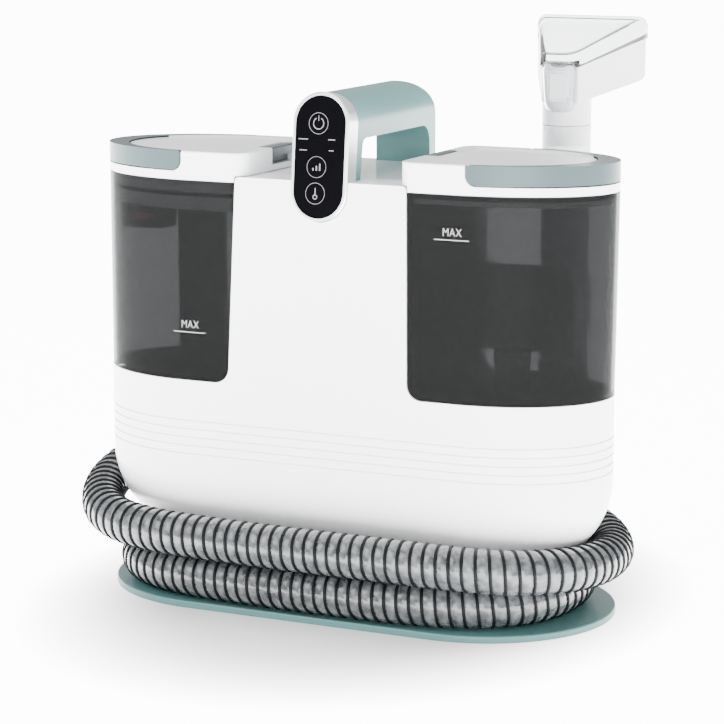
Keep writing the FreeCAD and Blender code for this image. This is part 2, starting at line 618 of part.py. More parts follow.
def tank_solid(inset, side):
    """The tank's outside, or its hollow when an inset is given, with the round lower inner corner."""
    floor, top = S.tank_floor + inset, S.tank_top + (0.5 if inset else 0.0)
    share = inset / (S.tank_top - S.tank_floor)
    wires = []
    for level, part in ((floor, share), (top, 1.0)):
        wire = Part.Wire([edge.toShape() for edge in tank_section(part, inset, side)])
        wire.translate(V(0, 0, level))
        wires.append(wire)
    solid = Part.makeLoft(wires, True, True)
    curve = S.tank_corner + 1 - inset
    inner = S.tower_half_low + S.tank_gap + inset
    wall = inner - (S.tower_half_low - S.tower_half_high) * (curve + inset) / (S.tank_top - S.tank_floor)
    diagonal = curve * (1 - math.sqrt(0.5))
    at = lambda x, z: V(side * x, -100.0, z)
    edges = [Part.Arc(at(wall + curve, floor), at(wall + diagonal, floor + diagonal), at(wall, floor + curve)),
             Part.LineSegment(at(wall, floor + curve), at(wall - 4, floor + curve)),
             Part.LineSegment(at(wall - 4, floor + curve), at(wall - 4, floor - 4)),
             Part.LineSegment(at(wall - 4, floor - 4), at(wall + curve, floor - 4)),
             Part.LineSegment(at(wall + curve, floor - 4), at(wall + curve, floor))]
    nook = Part.Face(Part.Wire([edge.toShape() for edge in edges])).extrude(V(0, 200, 0))
    return solid.cut(nook)


def make_tank(name, side):
    outside = feature(name + "_outside", tank_solid(0.0, side))
    hollow = feature(name + "_hollow", tank_solid(S.tank_wall, side))
    return cut(name + "_shell", outside, hollow)


def lid_outline(inner, inset, side, drop=0.0):
    return end_outline(inner + inset, S.tank_half_high - inset - drop, S.tank_front_high + inset + drop,
                       S.tank_rear_high - inset - drop, S.tank_end_run_high - inset - drop, side)


def bail_plan(side, gap):
    """Plan of the bail, or of its recess when a gap is given: a crescent between two ovals."""
    reach = S.bail_width + gap
    inner = end_outline(0.0, S.tank_half_high - reach, S.tank_front_high + S.bail_arm + gap,
                        S.tank_rear_high - S.bail_arm - gap, S.tank_end_run_high - reach, side)
    return inner


def prism(edges, low, high):
    """Upright solid between two levels on a closed plan."""
    face = Part.Face(Part.Wire([edge.toShape() for edge in edges]))
    solid = face.extrude(V(0, 0, high - low))
    solid.translate(V(0, 0, low))
    return solid


def bail_side(side, gap):
    """Side view of the bail, or of its recess: a bar whose inner end is round below, given the full depth."""
    end, low = S.bail_end - gap, S.bail_low - gap
    high = S.lid_high + (3.0 if gap else 0.0)
    curve = 7.0 + gap
    far = S.tank_half_high + 5.0
    diagonal = curve * (1 - math.sqrt(0.5))
    crown = 2.0
    slope = crown * (1 - math.sqrt(0.5))
    points = lambda x, z: V(side * x, -100.0, z)
    edges = [Part.LineSegment(points(far, low), points(end + curve, low)),
             Part.Arc(points(end + curve, low), points(end + diagonal, low + diagonal), points(end, low + curve)),
             Part.LineSegment(points(end, low + curve), points(end, high - crown)),
             Part.Arc(points(end, high - crown), points(end + slope, high - slope), points(end + crown, high)),
             Part.LineSegment(points(end + crown, high), points(far, high)),
             Part.LineSegment(points(far, high), points(far, low))]
    return Part.Face(Part.Wire([edge.toShape() for edge in edges])).extrude(V(0, 200.0, 0))


def make_bail(name, side):
    outer = prism(lid_outline(0.0, 0.0, side), S.bail_low - 2, S.lid_high + 2)
    inner = prism(bail_plan(side, 0.0), S.bail_low - 3, S.lid_high + 3)
    bail = outer.cut(inner).common(bail_side(side, 0.0))
    for pin in bail_pin_shapes(side, S.bail_pin_radius, 0.0):
        bail = bail.fuse(pin)
    keep(feature(name, bail), name)


def bail_pin_shapes(side, radius, extra):
    """The two pins that the bail turns on, from inside its arms into the lid's walls."""
    pins = []
    for front, start, length in ((True, S.tank_front_high + 1.2, 9.0 + extra), (False, 0, 0)):
        if not front:
            start, length = S.tank_rear_high - 1.2 - 9.0 - extra, 9.0 + extra
        foot = V(side * S.bail_pivot_x, start, S.bail_pivot_z)
        pins.append(Part.makeCylinder(radius, length, foot, V(0, 1, 0)))
    return pins


def make_lid(name, side, skirt):
    body = new_body(name)
    over = new_sketch(body, "XY_Plane", "over", lid_outline(S.lid_inner, 0.0, side), "lid_step")
    pad(body, over, "lid_high - lid_step")
    round_edges(body, "corner", "lid_corner",
                lambda e: abs(abs(e.CenterOfMass.x) - S.lid_inner) < 0.1
                and abs(e.tangentAt(e.FirstParameter).z) > 0.9)
    step = S.tower_half_high + 0.9
    under = new_sketch(body, "XY_Plane", "under", lid_outline(step, 0.0, side), "lid_low")
    pad(body, under, "lid_step - lid_low")
    wall_clear = S.tank_wall + 0.7
    plug = new_sketch(body, "XY_Plane", "skirt", lid_outline(step + 3.2, 0.0, side, wall_clear), S.lid_low - skirt)
    pad(body, plug, skirt)
    round_edges(body, "brow", 1.4, lambda e: abs(e.CenterOfMass.z - S.lid_high) < 0.05)
    dish = lid_outline(S.lid_inner, S.lid_rim, side)
    pad(body, new_sketch(body, "XY_Plane", "dish", dish, "lid_high - lid_dish"), 3.0, cutting=True)
    inside = lid_outline(step + 6.0, 0.0, side, S.bail_width + 3.5)
    inside = new_sketch(body, "XY_Plane", "inside", inside, S.lid_low - skirt - 1)
    pad(body, inside, "lid_roof - lid_low + %g" % (skirt + 1), cutting=True)
    doc.recompute()
    shape = body.Shape.copy()
    recess = prism(lid_outline(0.0, -2.0, side), S.bail_low - 4, S.lid_high + 4)
    recess = recess.cut(prism(bail_plan(side, S.bail_gap), S.bail_low - 5, S.lid_high + 5))
    recess = recess.common(bail_side(side, S.bail_gap))
    tools = [feature(name + "_recess", recess)]
    for count, pin in enumerate(bail_pin_shapes(side, S.bail_pin_radius + S.pin_play, 0.3)):
        tools.append(feature("%s_pin_hole%d" % (name, count), pin))
    half, run = S.latch_half + S.latch_gap, S.latch_run + S.latch_gap
    low = S.lid_step + 4.0
    x = S.lid_inner - 1 if side > 0 else -S.lid_inner - run
    notch = Part.makeBox(run + 1, 2 * half, S.lid_high + 5 - low, V(x, -4.0 - half, low))
    tools.append(feature(name + "_notch", notch))
    keep(cut(name, body, *tools), name)
    gasket_low = S.lid_low - skirt * 0.55
    thick = 3.0
    outer = prism(lid_outline(step + 2.8, 0.0, side, S.tank_wall + 0.45), gasket_low, gasket_low + thick)
    seat = prism(lid_outline(step + 3.2, 0.0, side, wall_clear), gasket_low - 1, gasket_low + thick + 1)
    keep(feature(name.replace("_lid", "_gasket"), outer.cut(seat)), name.replace("_lid", "_gasket"))


def make_latch(name, side):
    """Thumb tab at the lid's inner end: a plate with a leg that hooks under the lid's step."""
    half, gap = S.latch_half, S.latch_gap
    x = S.lid_inner + 0.2 if side > 0 else -S.lid_inner - S.latch_run + 3.2
    plate = Part.makeBox(S.latch_run - 3.4, 2 * half, S.lid_high - S.latch_low, V(x, -4.0 - half, S.latch_low))
    x_leg = S.lid_inner + S.latch_run - 6.2 if side > 0 else -S.lid_inner - S.latch_run + 3.2
    leg = Part.makeBox(3.0, 2 * half - 8, S.latch_low - S.lid_step - 4.3, V(x_leg, -half, S.lid_step + 4.3))
    shape = plate.fuse(leg).removeSplitter()
    edges = [e for e in shape.Edges if abs(e.CenterOfMass.z - S.lid_high) < 0.05]
    keep(feature(name, shape.makeFillet(1.0, edges)), name)


def make_clean_side():
    tank = make_tank("clean_tank", 1)
    hole = rod("clean_valve_hole", ("valve_x", "valve_y", "tank_floor - 1"), 8.0, 6.0)
    keep(cut("clean_tank", tank, hole), "clean_tank")
    floor = "tank_floor + tank_wall"
    post = ring("valve_post", ("valve_x", "valve_y", floor), 12.5, 10.0, 22.0)
    guide = ring("poppet_guide", ("valve_x", "valve_y", "tank_floor"), 7.9, 5.6, 3.0)
    web = ring("guide_web", ("valve_x", "valve_y", floor), 10.5, 5.6, 0.5)
    inlet = box("post_slot", ("valve_x - 2", "valve_y - 14", "tank_floor + tank_wall + 0.5"), (4.0, 28.0, 4.0))
    keep(cut("valve_guard", fuse("valve_guard", post, guide, web), inlet), "valve_guard")
    cap = rod("cap_disc", ("valve_x", "valve_y", "tank_floor + tank_wall + 22"), 13.2, 8.0)
    dent = rod("cap_dent", ("valve_x", "valve_y", "tank_floor + tank_wall + 21"), 10.2, 5.0)
    keep(cut("valve_cap", cap, dent), "valve_cap")
    stem = rod("poppet_stem", ("valve_x", "valve_y", "tank_floor + 0.4"), 3.0, 8.0)
    head = rod("poppet_head", ("valve_x", "valve_y", "tank_floor + 4.4"), 7.4, 2.4)
    keep(fuse("valve_poppet", stem, head), "valve_poppet")
    keep(ring("valve_spring", ("valve_x", "valve_y", "tank_floor + 7.4"), 5.4, 4.2, 16.0), "valve_spring")
    cup = rod("seat_cup", ("valve_x", "valve_y", "shelf_top - 16"), 14.8, 16.0)
    well = rod("seat_well", ("valve_x", "valve_y", "shelf_top - 10"), 11.0, 12.0)
    pin = rod("seat_pin", ("valve_x", "valve_y", "shelf_top - 12"), 2.2, 12.3)
    drain = rod("seat_drain", ("valve_x + 7", "valve_y", "shelf_top - 20"), 2.6, 12.0)
    keep(fuse("valve_seat", cut("valve_seat", cup, well, drain), pin), "valve_seat")
    make_lid("clean_lid", 1, 8.0)
    make_bail("clean_bail", 1)
    make_latch("clean_latch", 1)


def make_dirty_side():
    tank = make_tank("dirty_tank", -1)
    ports = (("inlet", "inlet_y", "inlet_port"), ("outlet", "outlet_y", "outlet_port"))
    holes = [rod("tank_%s" % word, ("duct_x", level, "tank_floor - 1"), radius, 6.0)
             for word, level, radius in ports]
    tab = box("tank_tab", ("- tank_half_high - 1.2", -12.0, 303.0), (3.2, 8.0, 5.0))
    keep(cut("dirty_tank", fuse("dirty_tank", tank, tab), *holes), "dirty_tank")
    low, high = S.tank_floor + S.tank_wall, 283.0
    wide, deep = S.duct_right - S.duct_left, S.duct_back - S.duct_front
    duct = Part.makeBox(wide, deep, high - low, V(S.duct_left, S.duct_front, low))
    duct = duct.makeFillet(3.0, [e for e in duct.Edges if abs(e.tangentAt(0).z) > 0.9])
    for start, stop in ((S.duct_front + 2, S.duct_split - 1), (S.duct_split + 1, S.duct_back - 2)):
        duct = duct.cut(Part.makeBox(wide - 4, stop - start, high - low + 4, V(S.duct_left + 2, start, low - 2)))
    keep(feature("tank_duct", duct), "tank_duct")
    seals = [ring("%s_seal" % word, ("duct_x", level, "shelf_top - shelf_thick"), radius + " + 1.3", radius,
                  "shelf_thick + 0.1") for word, level, radius in ports]
    keep(group("tank_seals", *seals), "tank_seals")
    make_lid("dirty_lid", -1, 22.0)
    make_bail("dirty_bail", -1)
    make_latch("dirty_latch", -1)
    # float in its cage below the lid
    roof = S.lid_low - 22.0
    cage = Part.makeBox(35.4, 24.0, 19.0, V(-176.0, -46.0, roof - 19.0))
    cage = cage.makeFillet(3.0, [e for e in cage.Edges if e.CenterOfMass.z < roof - 1])
    cage = cage.cut(Part.makeBox(31.4, 20.0, 16.0, V(-174.0, -44.0, roof - 16.0)))
    cage = cage.cut(Part.makeBox(20.0, 30.0, 8.0, V(-168.0, -49.0, roof - 14.0)))
    keep(feature("float_cage", cage), "float_cage")
    block = Part.makeBox(29.4, 18.0, 8.0, V(-173.0, -43.0, roof - 15.8))
    keep(feature("float_block", block.makeFillet(1.5, block.Edges)), "float_block")


# ================================================================ wand and nozzle
def make_wand():
    at = ("wand_x", "wand_y")
    stalk = ring("wand_stalk", at + ("wand_low",), "wand_radius", "wand_bore", "wand_seam - wand_low - 0.3")
    x, y, radius = S.wand_x, S.wand_y, S.wand_radius
    front, mouth = y - radius, S.mouth_y

    def wedge(near, far):
        """Solid between an upright rectangle at the front and a wider one at the mouth."""
        faces = []
        for place_y, (half, low, high) in ((near[0], near[1:]), (far[0], far[1:])):
            corners = [V(x - half, place_y, low), V(x + half, place_y, low), V(x + half, place_y, high),
                       V(x - half, place_y, high)]
            faces.append(Part.makePolygon(corners + corners[:1]))
        return Part.makeLoft(faces, True, True)

    rear = y + radius
    low, mid, high = S.mouth_low, S.mouth_mid, S.mouth_high
    # white fan: a throat over the neck, widening to a mouth that opens backwards
    throat = Part.makeCylinder(radius, 391.0 - S.wand_seam - 0.3, V(x, y, S.wand_seam + 0.3))
    fan = wedge((front + 3, 14.0, S.neck_top + 8, 391.0), (mouth, S.mouth_half, low, mid))
    lip = [e for e in fan.Edges if abs(e.CenterOfMass.y - mouth) < 1 and abs(e.CenterOfMass.z - low) < 1]
    fan = fan.makeFillet(S.mouth_round, lip).fuse(throat).removeSplitter()
    hollow = wedge((front + 6, 11.5, S.neck_top + 11, 392.5),
                   (mouth + 1, S.mouth_half - 2.5, low + 2.5, mid + 1.5))
    fan = fan.cut(hollow).cut(Part.makeCylinder(S.wand_bore - 2.0, 40.0, V(x, y, S.wand_seam - 1)))
    spigot = Part.makeCylinder(S.wand_bore - S.pin_play, 16.0, V(x, y, S.wand_seam - 15.0))
    fan = fan.fuse(spigot.cut(Part.makeCylinder(S.wand_bore - 2.0, 20.0, V(x, y, S.wand_seam - 16.0))))
    fan = fan.cut(Part.makeBox(12.8, 6.0, 9.2, V(x - 6.4, y + radius - 3.0, 348.8)))
    slope = Part.makeBox(120, 120, 60, V(x - 60, front - 10, 391.0))
    slope.rotate(V(x, front + 3, 391.0), V(1, 0, 0), math.degrees(math.atan2(mid - 391.0, mouth - front - 3)))
    keep(feature("nozzle_body", fan.cut(slope)), "nozzle_body")
    # clear cover: a shallow lid over the fan's open top, with a cup down the front
    cover = wedge((front - 1, 14.5, 391.4, 400.0), (mouth + 1, S.mouth_half + 1, mid + 0.6, high))
    room = wedge((front + 1, 12.5, 390.0, 398.0), (mouth + 2, S.mouth_half - 1, mid - 1, high - 2.0))
    cup = Part.makeBox(29.0, 14.0, 34.0, V(x - 14.5, front - 3.5, 360.0))
    cup = cup.makeFillet(7.0, [e for e in cup.Edges if e.CenterOfMass.z < 361 and abs(e.tangentAt(0).y) > 0.9])
    well = Part.makeBox(25.6, 14.0, 30.6, V(x - 12.8, front - 1.8, 361.7))
    keep_out = Part.makeCylinder(radius + 0.1, 41.3, V(x, y, 350.0)).fuse(
        wedge((front + 2.6, 14.4, S.neck_top + 7.6, 391.2), (mouth, S.mouth_half + 0.3, low - 0.4, mid + 0.3)))
    shell = cover.cut(room).cut(slope_below(mid, front, mouth, x))
    cup_shell = cup.cut(well).cut(keep_out)
    shell = shell.fuse(cup_shell).cut(keep_out)
    solids = sorted(shell.Solids, key=lambda s: -s.Volume)
    keep(feature("nozzle_cover", solids[0]), "nozzle_cover")
    block = Part.makeBox(12.0, 6.0, 20.0, V(x - 6.0, front - 1.4, 366.0)).cut(
        Part.makeCylinder(radius + 0.1, 60.0, V(x, y, 350.0)))
    keep(feature("spray_block", block), "spray_block")
    # trigger on the back of the wand, standing off its foot, between two ears of the stalk
    hinge = V(x - 20, y + radius + 3.9, 278.0)
    trigger = Part.makeBox(13.0, 6.4, 46.0, V(x - 6.5, y + radius + 1.0, 236.0))
    trigger = trigger.makeFillet(2.5, [e for e in trigger.Edges if e.CenterOfMass.y > y + radius + 5])
    trigger = trigger.cut(Part.makeCylinder(1.5 + S.pin_play, 40.0, hinge, V(1, 0, 0)))
    trigger.rotate(hinge, V(1, 0, 0), S.trigger_swing)
    keep(feature("wand_trigger", trigger), "wand_trigger")
    ears = Part.makeBox(18.8, 9.0, 10.0, V(x - 9.4, y + radius - 1.6, 273.0))
    ears = ears.cut(Part.makeBox(13.8, 12.0, 12.0, V(x - 6.9, y + radius - 1.6, 272.0)))
    ears = ears.cut(Part.makeCylinder(S.wand_bore + 1, 60.0, V(x, y, 250.0)))
    ears = ears.cut(Part.makeCylinder(1.5, 40.0, hinge, V(1, 0, 0)))
    keep(fuse("wand_tube", stalk, feature("trigger_ears", ears)), "wand_tube")
    keep(feature("trigger_pin", Part.makeCylinder(1.5, 18.4, V(x - 9.2, hinge.y, hinge.z), V(1, 0, 0))),
         "trigger_pin")
    button = Part.makeBox(12.0, 2.4, 8.0, V(x - 6.0, y + radius - 1.4, 349.4))
    keep(feature("nozzle_latch", button.makeFillet(0.6, button.Edges)), "nozzle_latch")


def slope_below(mid, front, mouth, x):
    """Everything under the fan's sloping rim, so the cover starts there."""
    run = mouth - front - 3
    block = Part.makeBox(140, 140, 60, V(x - 70, front - 30, 391.3 - 60))
    block.rotate(V(x, front + 3, 391.3), V(1, 0, 0), math.degrees(math.atan2(mid - 391.0, run)))
    return block


def make_bracket():
    low, high = S.bracket_low, S.bracket_high
    left, right, front = S.rear_half + 0.05, S.bracket_right, S.bracket_front
    plate = Part.makeBox(right - left, 5.0, high - low, V(left, front, low))
    corners = [e for e in plate.Edges if abs(e.tangentAt(0).y) > 0.9 and e.CenterOfMass.x > right - 1]
    plate = plate.makeFillet(12.0, corners)
    foot = Part.makeBox(5.0, 24.0, high - low, V(left, front, low))
    plate = plate.fuse(foot).removeSplitter()
    inner, outer = S.wand_radius + 0.05, S.wand_radius + 3.0
    tall, lift = 40.0, low + 12.0
    clip = Part.makeCylinder(outer, tall, V(S.wand_x, S.wand_y, lift))
    clip = clip.fuse(Part.makeBox(24.0, 8.0, tall, V(S.wand_x - 12.0, front + 5.0, lift)))
    clip = clip.cut(Part.makeCylinder(inner, tall + 2, V(S.wand_x, S.wand_y, lift - 1)))
    clip = clip.cut(Part.makeBox(25.0, 40.0, tall + 2, V(S.wand_x - 12.5, S.wand_y, lift - 1)))
    keep(feature("wand_holder", plate.fuse(clip)), "wand_holder")


# ================================================================ hose
def hose_route():
    """Points of the hose's middle line, from the wand's cuff to the port's cuff."""
    x, y, top = S.wand_x, S.wand_y, S.wand_low - S.cuff_length
    end = S.port_mouth + S.cuff_length
    return [(x, y, top), (126, 88, 130), (120, 90.5, 115.5), (108.6, 94.5, 104.6), (93.5, 99, 98.6),
            (72, 103.5, 97), (26, 107, 96.4), (-20, 107.6, 96), (-70, 107, 95.4), (-120, 100, 94.6),
            (-166, 80, 92.4), (-197, 44, 86), (-212, 2, 71.4), (-200.5, -40, 64), (-174, -76, 57.4),
            (-130, -92.6, 54.8), (-75, -96, 54.3), (-15, -97, 53.9), (45, -96.4, 54), (100, -94, 53),
            (148, -84, 51), (181, -55, 49), (194, -12, 46.6), (189, 34, 45.6), (162, 72, 50),
            (120, 91.5, 57.4), (76, 95, 61.5), (32, 95, 61.5), (-6, 90, 53), (-44, 84, 38.5),
            (-84, 78, 27), (-124, 68, 22.4), (-156, 46, 21.9), (-173, 8, 21.8), (-169, -36, 21.9),
            (-144, -68, 21.8), (-105, -82.4, 21.9), (-52, -86, 21.8), (0, -87, 21.9), (52, -86.4, 21.8),
            (102, -81.6, 21.9), (138, -66, 21.8), (160, -36, 21.9), (166, 4, 21.8), (156, 44, 22),
            (136, 70.6, 22.2), (121, 83.4, 22.6), (107, 86, 22.8), (end, S.port_y, S.port_z)]


def make_hose():
    points = [V(*p) for p in hose_route()]
    wire, radii = tube_wire(points)
    shape = tube_solid(wire, S.hose_radius)
    exact = math.pi * S.hose_radius ** 2 * wire.Length
    print("hose length %.0f mm, volume ratio %.4f" % (wire.Length, shape.Volume / exact))
    print("hose radii", " ".join("%.0f" % value for value in radii))
    keep(feature("hose", shape), "hose")
    top = "wand_low - cuff_length"
    keep(ring("cuff_wand", ("wand_x", "wand_y", top), "cuff_radius", "port_bore", "cuff_length"), "cuff_wand")
    foot = ("port_mouth", "port_y", "port_z")
    keep(ring("cuff_port", foot, "port_z - base_thick - cuff_lift", "port_bore", "cuff_length", "x"),
         "cuff_port")
    x, y, z = S.port_x, S.port_y, S.port_z
    outer = tube_solid(elbow_wire(x, y, z), S.port_radius)
    bore = tube_solid(elbow_wire(x, y, z), S.port_bore)
    keep(feature("hose_port", outer.cut(bore)), "hose_port")


def elbow_wire(x, y, z):
    start = S.pedestal_half_depth
    return tube_wire([V(x, start, z), V(x, y, z), V(S.port_mouth, y, z)], 19.0)[0]


# ================================================================ works inside the housings
def make_works():
    mid = "motor_y"
    # fan: casing, wheel and rubber inlet boot on the hull floor
    case = rod("fan_case", (0.0, mid, "fan_low"), "fan_radius", "fan_high - fan_low")
    room = rod("fan_room", (0.0, mid, "fan_low + 3"), "fan_radius - 3", "fan_high - fan_low - 6")
    eye = rod("fan_eye", (0.0, mid, "fan_low - 1"), 16.0, 10.0)
    neck = rod("fan_neck", (0.0, mid, "fan_high - 5"), "shaft_radius + 2", 10.0)
    vents = [rod("fan_vent%d" % i, (34 * math.cos(i * math.pi / 3), S.motor_y + 34 * math.sin(i * math.pi / 3),
                                    "fan_high - 5"), 6.0, 10.0) for i in range(6)]
    keep(cut("fan_housing", case, room, eye, neck, *vents), "fan_housing")
    shaft_low = S.fan_low + 12
    hub = Part.makeCylinder(9.0, 26.0, V(0, S.motor_y, S.fan_low + 8))
    back = Part.makeCylinder(46.0, 2.0, V(0, S.motor_y, S.fan_low + 32))
    wheel = hub.fuse(back)
    for i in range(9):
        blade = Part.makeBox(34.0, 1.6, 18.5, V(8.0, S.motor_y - 0.8, S.fan_low + 14))
        blade.rotate(V(0, S.motor_y, 0), V(0, 0, 1), 40 * i)
        wheel = wheel.fuse(blade)
    shaft = Part.makeCylinder(S.shaft_radius, S.motor_high - 20 - shaft_low, V(0, S.motor_y, shaft_low))
    keep(feature("impeller", wheel.fuse(shaft)), "impeller")
    boot = ring("inlet_boot", (0.0, mid, "hull_bottom + hull_wall"), 22.0, 16.0,
                "fan_low - hull_bottom - hull_wall")
    side = rod("boot_side", (-30.0, mid, 58.0), 8.0, 20.0, "x")
    can = rod("motor_can", (0.0, mid, "fan_high"), "motor_radius", "motor_high - fan_high")
    core = rod("motor_core", (0.0, mid, "fan_high - 1"), "shaft_radius + 0.05", "motor_high - fan_high - 17")
    keep(cut("vacuum_motor", can, core), "vacuum_motor")
    collar = ring("motor_collar", (0.0, mid, "motor_high"), 30.0, 20.0, 10.0)
    keep(group("motor_mounts", cut("inlet_boot", boot, side), collar), "motor_mounts")
    keep(box("motor_bracket", (-66.4, -60.0, "motor_high + 10"), (132.8, 118.0, 2.0)), "motor_bracket")
    keep(box("power_board", (-55.0, 10.0, "motor_high + 22"), (110.0, 1.6, 70.0)), "power_board")
    # water side: pump with plunger, heater and tubes
    pump_y, pump_z = -4.0, 92.0
    shell = rod("pump_shell", (96.0, pump_y, pump_z), 18.0, 52.0, "x")
    bore = rod("pump_bore", (106.0, pump_y, pump_z), 5.0, 32.0, "x")
    keep(cut("pump_body", shell, bore), "pump_body")
    keep(rod("pump_plunger", (110.0, pump_y, pump_z), 4.95, 18.0, "x"), "pump_plunger")
    keep(rod("water_heater", (100.0, -44.0, 84.0), 13.0, 60.0, "x"), "water_heater")
    seat_low = S.shelf_top - 16
    feed_x = S.valve_x + 7
    feed = tube("feed_tube", [(feed_x, S.valve_y, seat_low), (feed_x, S.valve_y, 132.0),
                              (feed_x, pump_y, 124.0), (feed_x, pump_y, pump_z + 18.2)], 4.0, 2.6, 12.0)
    link = tube("link_tube", [(148.2, pump_y, pump_z), (168.0, pump_y, pump_z), (168.0, -22.0, 86.0),
                              (168.0, -44.0, 84.0), (160.2, -44.0, 84.0)], 4.0, 2.6, 6.0)
    keep(group("water_tubes", feed, link), "water_tubes")
    # air side: the dirty inlet comes up on the left, the outlet goes back to the fan's boot
    roof = S.shelf_top - S.shelf_thick
    x, z = S.riser_x, S.port_z
    rising = tube("rising_pipe", [(S.port_x, S.pedestal_half_depth, z), (S.port_x, 0.0, z), (-80.0, 0.0, z),
                                  (x, S.riser_y, z), (x, S.riser_y, 118.0)], S.pipe_radius, S.pipe_bore, 14.0)
    fan_pipe = tube("fan_pipe", [(-91.8, 4.0, 140.0), (-74.0, 4.0, 140.0), (-74.0, -2.0, 62.0),
                                 (-22.2, -8.0, 58.0)], 8.0, 6.4, 12.0)
    keep(group("air_pipes", rising, fan_pipe), "air_pipes")
    low = 118.0
    shell = Part.makeBox(50.0, 46.0, roof - low, V(-142.0, -31.0, low))
    for start, stop in ((-29.0, S.duct_split - 0.7), (S.duct_split + 0.7, 13.0)):
        shell = shell.cut(Part.makeBox(46.0, stop - start, roof - low - 4, V(-140.0, start, low + 2)))
    shell = shell.cut(Part.makeCylinder(S.inlet_port - 0.6, 10.0, V(S.duct_x, S.inlet_y, roof - 5)))
    shell = shell.cut(Part.makeCylinder(S.outlet_port - 0.6, 10.0, V(S.duct_x, S.outlet_y, roof - 5)))
    shell = shell.cut(Part.makeCylinder(S.pipe_bore, 10.0, V(x, S.riser_y, low - 5)))
    shell = shell.cut(Part.makeCylinder(6.0, 10.0, V(-97.0, 4.0, 140.0), V(1, 0, 0)))
    keep(feature("air_box", shell), "air_box")


make_base()
make_lower_housing()
make_upper_housing()
make_deck()
make_rear_cover()
make_module()
make_handle()
make_clean_side()
make_dirty_side()
make_wand()
make_bracket()
make_hose()
make_works()
keep(group("housing_screws", *SCREWS), "housing_screws")

# ================================================================ check and write
doc.recompute()
bad = [obj.Name for obj in doc.Objects if "Invalid" in obj.State or "Error" in obj.State]
if bad:
    raise RuntimeError("failed objects: " + ", ".join(bad))
os.makedirs("parts", exist_ok=True)
for label, obj in NODES.items():
    shape = obj.Shape
    if shape.isNull() or not shape.isValid() or not shape.Solids:
        raise RuntimeError("bad shape: " + label)
    shape.exportStep("parts/%s.step" % label)
    print("%-18s solids %d volume %.0f" % (label, len(shape.Solids), shape.Volume))
print(len(NODES), "sub-parts written")
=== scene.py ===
"""Portable carpet cleaner: materials, hose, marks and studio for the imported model."""
import json
import math

import bpy
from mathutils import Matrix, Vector
from mathutils.bvhtree import BVHTree


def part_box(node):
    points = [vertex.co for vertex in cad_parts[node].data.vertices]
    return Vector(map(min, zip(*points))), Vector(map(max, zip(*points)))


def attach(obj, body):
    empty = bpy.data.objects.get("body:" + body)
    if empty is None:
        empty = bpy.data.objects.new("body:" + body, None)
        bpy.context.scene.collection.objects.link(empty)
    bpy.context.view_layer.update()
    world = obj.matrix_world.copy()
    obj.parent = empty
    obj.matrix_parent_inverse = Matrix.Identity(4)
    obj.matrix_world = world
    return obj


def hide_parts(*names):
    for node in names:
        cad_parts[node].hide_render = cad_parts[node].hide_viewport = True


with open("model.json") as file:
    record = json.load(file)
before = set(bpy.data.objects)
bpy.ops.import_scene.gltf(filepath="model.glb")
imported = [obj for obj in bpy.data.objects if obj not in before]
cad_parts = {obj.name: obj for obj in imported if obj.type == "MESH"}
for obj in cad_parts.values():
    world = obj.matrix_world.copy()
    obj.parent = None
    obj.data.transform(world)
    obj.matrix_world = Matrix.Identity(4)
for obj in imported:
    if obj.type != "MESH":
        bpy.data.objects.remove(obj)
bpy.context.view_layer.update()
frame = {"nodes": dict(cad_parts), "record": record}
nodes = frame["nodes"]

# ---------------------------------------------------------------- sizes, in metres
HOSE_SKIN = 0.0146
HOSE_BULGE = 0.0011
RIB_PITCH = 0.0089
RIB_RADIUS = 0.0012
RIB_LINE = 0.0153
RING_STEP = RIB_PITCH / 8
RING_SIDES = 28
MARK_LIFT = 0.00012
LETTER_SIZE = 0.0082
LETTER_SQUEEZE = 0.84
LETTER_THIN = 0.00012
LEVEL_LINE = 0.00055
WINDOW_WALL = 0.0014
SPRING_WIRE = 0.00045
# painted shadow on the floor: the floor's glow fades out in this ring round the object's foot
SHADOW_HALF = (0.245, 0.30)
SHADOW_CORE = 0.48
SHADOW_BOW = 2.4
FLOOR_GLOW = 12.0

# nodes whose look differs from their slot's; the bails and latches get a darker copy of the mint, painted
# shade
NODE_LOOKS = {"clean_bail": "bail_green_painted_shade", "dirty_bail": "bail_green_painted_shade", "clean_latch": "bail_green_painted_shade",
              "dirty_latch": "bail_green_painted_shade", "nozzle_body": "nozzle_white", "spray_block": "white_shell"}

